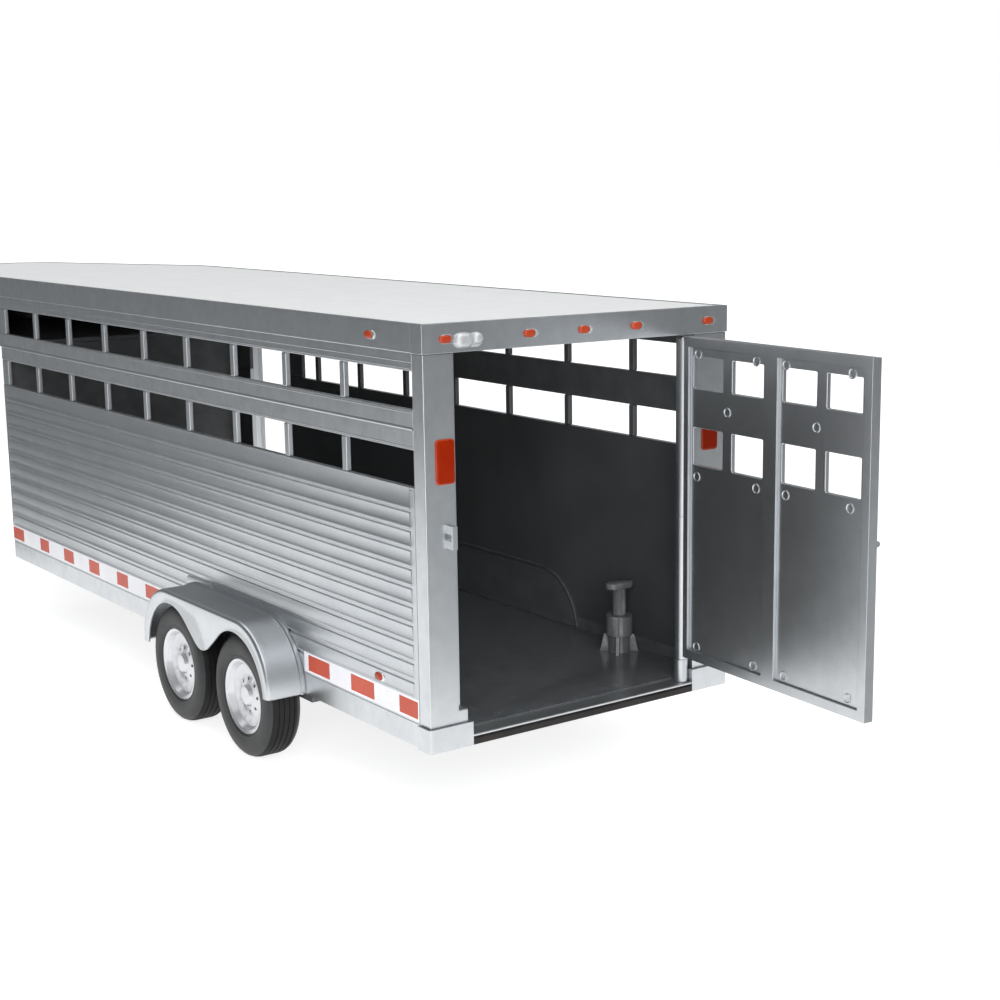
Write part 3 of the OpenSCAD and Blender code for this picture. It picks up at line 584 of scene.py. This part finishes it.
def rounded(w, h, r, steps=4):
    """The outline of a rectangle with rounded corners, counter-clockwise."""
    pts = []
    for cx, cy, a in ((1, 1, 0), (-1, 1, 90), (-1, -1, 180), (1, -1, 270)):
        pts += [(cx * (w / 2 - r) + r * math.cos(t), cy * (h / 2 - r) + r * math.sin(t))
                for t in fan(a, a + 90, steps)]
    return pts


def fan(a, b, steps):
    return [math.radians(a + (b - a) * i / steps) for i in range(steps + 1)]


def dome(verts, faces, kinds, centre, across, out, outline, tiers, kind=0):
    """A closed lens: the outline at each (height, shrink in mm) tier, joined and capped."""
    centre, across, out = Vector(centre), Vector(across), Vector(out)
    up = out.cross(across)
    base, n = len(verts), len(outline)
    for high, shrink in tiers:
        for u, v in outline:
            size = math.hypot(u, v)
            k = max(0.05, (size - shrink) / size)
            verts.append(tuple(centre + across * u * k + up * v * k + out * high))
    for t in range(len(tiers) - 1):
        for i in range(n):
            j = (i + 1) % n
            a = base + t * n
            faces.append((a + i, a + j, a + n + j, a + n + i))
            kinds.append(kind)
    faces.append(tuple(base + i for i in range(n - 1, -1, -1)))
    faces.append(tuple(base + (len(tiers) - 1) * n + i for i in range(n)))
    kinds += [kind, kind]


MARKER_X, MARKER_LOW_Z, MARKER_STEP, MARKER_INSET = 25.7, 16.0, 18.8, 7.3
LENS_TIERS = ((0, 0), (0.45, 0), (0.72, 0.25), (0.85, 0.7))
BEZEL_TIERS = ((-0.1, 0), (0.22, 0), (0.36, 0.14))


def marker_places():
    """Centre, length direction and outward direction of each marker lamp."""
    wall = span("siding_left")[1].y
    fascia = span("roof_fascia_left")[1].y
    header = span("rear_header")[0].x
    high = (span("rear_header")[0].z + span("rear_header")[1].z) / 2 - 0.25
    outer = wall - MARKER_INSET
    across = (outer, MARKER_STEP, 0.0, -MARKER_STEP, -outer)
    places = [((header, y, high), (0, -1, 0), (-1, 0, 0)) for y in across]
    for side in (1, -1):
        places.append(((MARKER_X, side * fascia, high), (-side, 0, 0), (0, side, 0)))
        places.append(((MARKER_X, side * wall, MARKER_LOW_Z), (-side, 0, 0), (0, side, 0)))
    return places


def make_markers():
    lens, rims = ([], [], []), ([], [], [])
    for centre, across, out in marker_places():
        shift = Vector(across) * 0.35
        dome(*lens, Vector(centre) - shift, across, out, stadium(3.8, 2.2), LENS_TIERS)
        dome(*rims, Vector(centre) + shift, across, out, stadium(4.8, 2.5), BEZEL_TIERS)
    piece("marker_lamp_lenses", lens[0], lens[1], [LENS], "chassis", ("marker_lenses",), angle=40)
    piece("marker_lamp_rims", rims[0], rims[1], [BEZEL], "chassis", ("marker_bezels",),
          angle=40)


TAIL_RIM_TIERS = ((0, 0), (0.30, 0), (0.38, 0.12))
TAIL_TIERS = ((0.2, 0), (0.62, 0), (0.74, 0.2), (0.80, 0.7))


def make_tail_lamps():
    lo, hi = span("tail_lamps")
    w, h, z = 6.0, hi.z - lo.z, (hi.z + lo.z) / 2
    verts, faces, kinds = [], [], []
    for side in (1, -1):
        centre = (0.0, side * (hi.y - w / 2), z)
        dome(verts, faces, kinds, centre, (0, -1, 0), (-1, 0, 0), rounded(w, h, 1.0), TAIL_RIM_TIERS, 1)
        inner = rounded(w - 0.7, h - 0.7, 0.9)
        dome(verts, faces, kinds, centre, (0, -1, 0), (-1, 0, 0), inner, TAIL_TIERS, 0)
    piece("tail_lamp_lenses", verts, faces, [TAIL, LENS], "chassis", ("tail_lamps",), kinds,
          angle=40)


def make_loading_lamp():
    lo, hi = span("loading_lamp")
    mid = (lo + hi) / 2
    w, h, deep = hi.y - lo.y, hi.z - lo.z, hi.x - lo.x
    verts, faces, kinds = [], [], []
    for shift, rise, wide, tall in ((-0.20, 0.1, 0.72, 0.80), (0.30, 0.5, 0.44, 0.62)):
        tiers = [(deep * math.sin(a), h * 0.42 * tall * (1 - math.cos(a))) for a in fan(0, 80, 7)]
        dome(verts, faces, kinds, (hi.x, mid.y - shift * w, mid.z + rise), (0, -1, 0), (-1, 0, 0),
             stadium(w * wide, h * tall), tiers)
    base = ((0, 0), (0.5, 0), (0.7, 0.3))
    dome(verts, faces, kinds, (hi.x, mid.y, mid.z), (0, -1, 0), (-1, 0, 0), stadium(w, h * 0.7), base)
    piece("loading_lamp_lobes", verts, faces, [CLEAR], "chassis", ("loading_lamp",), angle=50)


# ---------------------------------------------------------------- fenders


def resample(path, count):
    """The same path as count points, evenly spaced along it."""
    run = [0.0]
    for a, b in zip(path, path[1:]):
        run.append(run[-1] + math.dist(a, b))
    pts, k = [], 0
    for i in range(count):
        d = run[-1] * i / (count - 1)
        while k < len(run) - 2 and run[k + 1] < d:
            k += 1
        t = (d - run[k]) / max(run[k + 1] - run[k], 1e-9)
        pts.append(tuple(p + (q - p) * t for p, q in zip(path[k], path[k + 1])))
    return pts


FENDER_R, FENDER_Z, FENDER_SAMPLES = 20.6, 1.3, 150
OPENING_R, TONGUE_R, TONGUE_Z = 18.6, 7.5, 13.9
SKIN_THICK = 0.7
SWELL_PLACE, SWELL_SIZE, SWELL_PROUD = (141.5, 20.6), (20.0, 5.0), 0.5


def fender_edge():
    """The skirt's lower edge: over both wheels, with a rounded tongue between, joined by tangents."""
    low = span("fender_left")[0].z
    wheels = [(w, -1.45) for w in (axle_x("rear") + 1.6, axle_x("front") + 1.6)]
    tongue = ((wheels[0][0] + wheels[1][0]) / 2, TONGUE_Z)
    gap = Vector((tongue[0] - wheels[0][0], tongue[1] - wheels[0][1]))
    lean = math.degrees(math.atan2(gap.y, gap.x))
    touch = math.degrees(math.acos((OPENING_R + TONGUE_R) / gap.length))
    first = 180 - math.degrees(math.asin((low - wheels[0][1]) / OPENING_R))
    left = [(wheels[0][0] + OPENING_R * math.cos(a), wheels[0][1] + OPENING_R * math.sin(a))
            for a in fan(first, lean + touch, 40)]
    tip = [(tongue[0] + TONGUE_R * math.cos(a), tongue[1] + TONGUE_R * math.sin(a))
           for a in fan(180 + lean + touch, 270, 12)]
    half = left + tip
    return half + [(2 * tongue[0] - x, z) for x, z in reversed(half[:-1])]


def axle_x(which):
    lo, hi = span("tyre_" + which + "_left")
    return (lo.x + hi.x) / 2


def fender_top(inset):
    """The line of the fender's top seen from the side, moved inwards by inset."""
    lo, hi = span("fender_left")
    r = FENDER_R - inset
    a, b = lo.x + FENDER_R, hi.x - FENDER_R
    rear = [(a + r * math.cos(t), FENDER_Z + r * math.sin(t)) for t in fan(180, 90, 30)]
    front = [(b + r * math.cos(t), FENDER_Z + r * math.sin(t)) for t in fan(90, 0, 30)]
    return resample([(rear[0][0], lo.z)] + rear + front + [(front[-1][0], lo.z)], FENDER_SAMPLES)


def make_fenders():
    wall, out, round_r = span("siding_left")[1].y, span("fender_left")[1].y, 1.1
    profile = [(wall, -0.55), (wall + 0.55, -0.5), (wall + 0.75, 0.0), (wall + 1.5, 0.02), (wall + 1.7, 0.55),
               (wall + 2.3, 0.62), (out - round_r - 1.0, 0.66)]
    profile += [(out - round_r + round_r * math.sin(a), 0.7 + round_r * (1 - math.cos(a)))
                for a in fan(0, 90, 6)]
    rings = [[(x, y, z) for x, z in fender_top(max(inset, 0.0))] for y, inset in profile]
    edge = [(x, out, z) for x, z in resample(fender_edge(), FENDER_SAMPLES)]
    rings.append(edge)
    for side, label in ((1, "left"), (-1, "right")):
        verts = [(x, side * y, z) for ring in rings for x, y, z in ring]
        n = FENDER_SAMPLES
        faces = []
        for r in range(len(rings) - 1):
            for i in range(n - 1):
                quad = (r * n + i, r * n + i + 1, (r + 1) * n + i + 1, (r + 1) * n + i)
                faces.append(quad if side > 0 else quad[::-1])
        obj = piece("fender_" + label + "_skin", verts, faces, [SILVER], "chassis",
                    ("fender_" + label,), angle=38)
        thick = obj.modifiers.new("thickness", "SOLIDIFY")
        thick.thickness, thick.offset = SKIN_THICK * MM, -1.0
        thick.use_even_offset = False


def tube(verts, faces, path, radius, sides=8):
    """A capped round rod along a path that stays in one plane of constant y."""
    base, n = len(verts), sides
    for i, p in enumerate(path):
        a, b = Vector(path[max(i - 1, 0)]), Vector(path[min(i + 1, len(path) - 1)])
        ahead = (b - a).normalized()
        across = Vector((0, 1, 0))
        up = ahead.cross(across)
        for k in range(n):
            t = 2 * math.pi * k / n
            verts.append(tuple(Vector(p) + across * radius * math.cos(t) + up * radius * math.sin(t)))
    for i in range(len(path) - 1):
        for k in range(n):
            j = (k + 1) % n
            a = base + i * n
            faces.append((a + k, a + n + k, a + n + j, a + j))
    faces.append(tuple(base + k for k in range(n)))
    last = base + (len(path) - 1) * n
    faces.append(tuple(last + k for k in range(n - 1, -1, -1)))


def make_arch_lips():
    """The rounded lip that the wheel arches show inside the body, and the low swell above them outside."""
    floor_top = span("floor_pan")[1].z
    for side, label in ((1, "left"), (-1, "right")):
        verts, faces = [], []
        path = [(x, side * (INNER_W - 0.85), z) for x, z in fender_top(0.3) if z > floor_top + 0.2]
        tube(verts, faces, path, 0.5)
        inner = [(x, side * (INNER_W - 0.8), z) for x, z in fender_top(2.0) if z > floor_top + 0.2]
        tube(verts, faces, inner, 0.16, 6)
        piece("arch_lip_" + label, verts, faces, [CHARCOAL], "chassis", (), angle=50)
        swell, kinds = ([], []), []
        wall = span("siding_left")[1].y
        tiers = [(SWELL_PROUD * math.sin(a), 1.0 * (1 - math.cos(a))) for a in fan(0, 85, 5)]
        centre = (SWELL_PLACE[0], side * wall, SWELL_PLACE[1])
        dome(*swell, kinds, centre, (-side, 0, 0), (0, side, 0), stadium(*SWELL_SIZE, 9), tiers)
        piece("arch_swell_" + label, swell[0], swell[1], [SILVER], "chassis", (), angle=40)


# ---------------------------------------------------------------- tyres


def lathe(profile, centre_x, centre_z, segments):
    """Rings of (radius, y) turned about the Y axis into one closed skin."""
    verts, faces, n = [], [], segments
    for r, y in profile:
        verts += [(centre_x + r * math.cos(a), y, centre_z + r * math.sin(a))
                  for a in (2 * math.pi * i / n for i in range(n))]
    m = len(profile)
    for k in range(m):
        for i in range(n):
            j = (i + 1) % n
            a, b = k * n, ((k + 1) % m) * n
            faces.append((a + i, a + j, b + j, b + i))
    return verts, faces


def tyre_profile(inner_y, outer_y, bead, radius):
    """Half rounded side walls, a bead ring, and fine grooves round the tread."""
    side = [(bead, 0.6), (bead + 0.5, 0.22), (bead + 0.9, 0.30), (bead + 1.3, 0.12), (bead + 3.2, 0.0),
            (radius - 2.2, 0.12), (radius - 1.2, 0.5), (radius - 0.55, 1.15), (radius - 0.16, 2.0),
            (radius - 0.04, 2.7)]
    wide = outer_y - inner_y
    tread = []
    for c in (0.27, 0.42, 0.58, 0.73):
        y = wide * c
        tread += [(radius, y - 0.2), (radius - 0.28, y - 0.1), (radius - 0.28, y + 0.1), (radius, y + 0.2)]
    near = [(r, inner_y + d) for r, d in side]
    far = [(r, outer_y - d) for r, d in reversed(side)]
    return near + [(r, inner_y + y) for r, y in tread] + far


TYRE_SIDES = 112


def make_tyres():
    for which in ("rear", "front"):
        for label in ("left", "right"):
            node = "tyre_" + which + "_" + label
            lo, hi = span(node)
            x, z, radius = (lo.x + hi.x) / 2, (lo.z + hi.z) / 2, (hi.z - lo.z) / 2
            rim_lo, rim_hi = span("rim_" + which + "_" + label)
            bead = (rim_hi.z - rim_lo.z) / 2
            profile = tyre_profile(lo.y, hi.y, bead, radius)
            verts, faces = lathe(profile, x, z, TYRE_SIDES)
            kinds = [1 if profile[k // TYRE_SIDES][0] > radius - 0.5 else 0 for k in range(len(faces))]
            piece(node + "_tread", verts, faces, [TYRE, TREAD], BODY_OF[node], (node,), kinds,
                  angle=36)


# ---------------------------------------------------------------- door marks, floor knob and wall lines

DOOR_OPEN = 86.2
DOOR_MARKS = ((8.5, 103.9), (34.7, 104.3), (22.0, 87.7), (47.2, 104.3), (73.3, 104.5), (59.8, 87.8),
              (8.1, 67.3), (35.1, 67.7), (47.7, 67.7), (73.4, 68.0),
              (8.4, 15.8), (34.8, 16.2), (48.1, 16.3), (74.1, 16.4))


def door_axes():
    """Out of the open door's inner face, and along the leaf away from the hinge."""
    turn = math.radians(DOOR_OPEN)
    return Vector((math.cos(turn), math.sin(turn), 0)), Vector((-math.sin(turn), math.cos(turn), 0))


def make_door_marks():
    """Ejector rings on the door's inner face: a shallow dish inside a fine raised rim."""
    pin_lo, pin_hi = span("hinge_pin")
    hinge = (pin_lo + pin_hi) / 2
    out, along = door_axes()
    verts, faces, kinds = [], [], []
    circle = [(1.5 * math.cos(a), 1.5 * math.sin(a)) for a in fan(0, 345, 23)]
    for s, z in DOOR_MARKS:
        z = min(z, 103.4)
        bay = 4.9 < s < 39.1 or 44.5 < s < 78.7
        face = 0.7 if bay and 14.4 < z < 105.2 else 1.55
        centre = Vector((hinge.x, hinge.y, z)) + along * s + out * (face - 0.02)
        tiers = ((0.0, 0.0), (0.28, 0.06), (0.30, 0.26), (0.06, 0.50), (0.03, 0.9))
        dome(verts, faces, kinds, centre, along, out, circle, tiers)
    piece("door_mould_marks", verts, faces, [SILVER], "rear_door", (), angle=35)


def make_hinge_barrel():
    """The door's rounded hinge stile: one bright barrel with a domed top and a mould seam."""
    lo, hi = span("door_hinge_tube")
    mid = (lo + hi) / 2
    out, along = door_axes()
    centre = Vector((mid.x, mid.y, 0)) + along * 0.95 + out * 0.30
    r, seam = 2.2, 44.0
    turned = [(r * math.cos(a), r * math.sin(a)) for a in fan(0, 350, 35)]
    high = hi.z - lo.z
    tiers = [(0.0, 0.25), (0.2, 0.0), (seam - 0.12, 0.0), (seam, 0.10), (seam + 0.12, 0.0), (high - 1.3, 0.0)]
    tiers += [(high - 1.3 + 1.3 * math.sin(a), 1.3 * (1 - math.cos(a))) for a in fan(15, 85, 5)]
    verts, faces, kinds = [], [], []
    dome(verts, faces, kinds, (centre.x, centre.y, lo.z), (0, 1, 0), (0, 0, 1), turned, tiers)
    piece("door_hinge_barrel", verts, faces, [SILVER], "rear_door", ("door_hinge_tube",),
          angle=35)


def make_turn_knob():
    """The pin in the floor boss: a stout stem above the collar and an oval head."""
    lo, hi = span("turn_pin")
    mid = (lo + hi) / 2
    head, collar = hi.z - 2.3, span("floor_boss")[1].z + 0.1
    wide = hi.y - lo.y

    def ring(r):
        return [(r * math.cos(a), r * math.sin(a)) for a in fan(0, 350, 35)]

    verts, faces, kinds = [], [], []
    up = ((0, 1, 0), (0, 0, 1))
    dome(verts, faces, kinds, (mid.x, mid.y, lo.z), *up, ring(1.95), ((0, 0), (collar - lo.z + 0.05, 0)))
    dome(verts, faces, kinds, (mid.x, mid.y, collar), *up, ring(2.25),
         ((0, 0.15), (0.15, 0), (head - collar - 0.3, 0), (head - collar + 0.3, -0.25)))
    dome(verts, faces, kinds, (mid.x, mid.y, head), *up, stadium(wide, 5.0, 10),
         ((0, 0.7), (0.35, 0.1), (0.7, 0), (1.6, 0), (2.05, 0.15), (2.3, 0.7)))
    foot = rounded(7.2, 2.8, 0.5)
    dome(verts, faces, kinds, (mid.x, mid.y, lo.z), (1, 0, 0), (0, 0, 1), foot, ((0, 0), (1.2, 0)))
    piece("turn_knob", verts, faces, [BOSS], "turn_pin", ("turn_pin",), angle=40)


RIBS = ((71.6, 0.35, 0.16), (83.5, 0.35, 0.16), (88.4, 1.0, 0.28), (92.7, 0.35, 0.16), (104.5, 0.35, 0.16),
        (106.2, 0.4, 0.18))
RIB_NOSE, RIB_FRONT = 9.0, 308.2


def make_wall_lines():
    """The moulded lines along the window rows, each a low half-round rib."""
    wall = span("siding_left")[1].y
    x_a = span("siding_left")[0].x
    stile = SIDE_DOORWAY[0]
    nose_low = span("nose_floor")[0].z
    for side, label in ((1, "left"), (-1, "right")):
        verts, faces, kinds = [], [], []
        for z, high, proud in RIBS:
            end = BODY_L + RIB_NOSE if z > nose_low + 0.5 else BODY_L - 0.1
            runs = [(x_a + 0.1, end)] if side > 0 else [(x_a + 0.1, stile - 0.5), (RIB_FRONT, end)]
            for a, b in runs:
                section = [(proud * math.sin(t) - 0.02, -high / 2 * math.cos(t)) for t in fan(0, 180, 6)]
                base, n = len(verts), len(section)
                for x in (a, b):
                    verts += [(x, side * (wall + d), z + e) for d, e in section]
                for i in range(n):
                    j = (i + 1) % n
                    quad = (base + i, base + j, base + n + j, base + n + i)
                    faces.append(quad if side < 0 else quad[::-1])
                    kinds.append(0)
                cap = tuple(base + i for i in range(n))
                near, far = (cap, cap[::-1]) if side > 0 else (cap[::-1], cap)
                faces += [near, tuple(i + n for i in far)]
                kinds += [0, 0]
        piece("window_ribs_" + label, verts, faces, [SILVER], "chassis", (), angle=50)


# ---------------------------------------------------------------- everything else keeps its CAD shape

INNER_DARK = ("bottom_rail_left", "bottom_rail_right", "mid_rail_left", "mid_rail_right", "top_rail_left",
              "top_rail_right", "window_bars_left", "window_bars_right", "rear_header", "roof_fascia_left",
              "roof_fascia_right", "roof_fascia_nose", "front_wall", "nose_wall_left", "nose_wall_right",
              "nose_wall_front")
BEVELS = {"floor_pan": 0.2, "rear_sill": 0.3, "bumper_blocks": 0.5, "rear_post_left": 0.3,
          "rear_post_right": 0.3, "window_bars_left": 0.45, "window_bars_right": 0.45, "latch_bolt": 0.15,
          "hinge_pin": 0.1, "bolt_guides": 0.12, "latch_keeper": 0.12, "arch_liners": 0.2, "axle_rods": 0.1,
          "side_hinges": 0.12, "roof_panel": 0.2}
OTHER_BEVEL = 0.3


def dress_the_rest(replaced):
    for node in NODES:
        if node not in replaced:
            dress(node, BEVELS.get(node, OTHER_BEVEL), node in INNER_DARK)


make_camera()
make_studio()
make_siding()
make_tape()
make_markers()
make_tail_lamps()
make_loading_lamp()
make_fenders()
make_arch_lips()
make_tyres()
make_door_marks()
make_hinge_barrel()
make_turn_knob()
make_wall_lines()
dress_the_rest({n for n in NODES if NODES[n].hide_render})
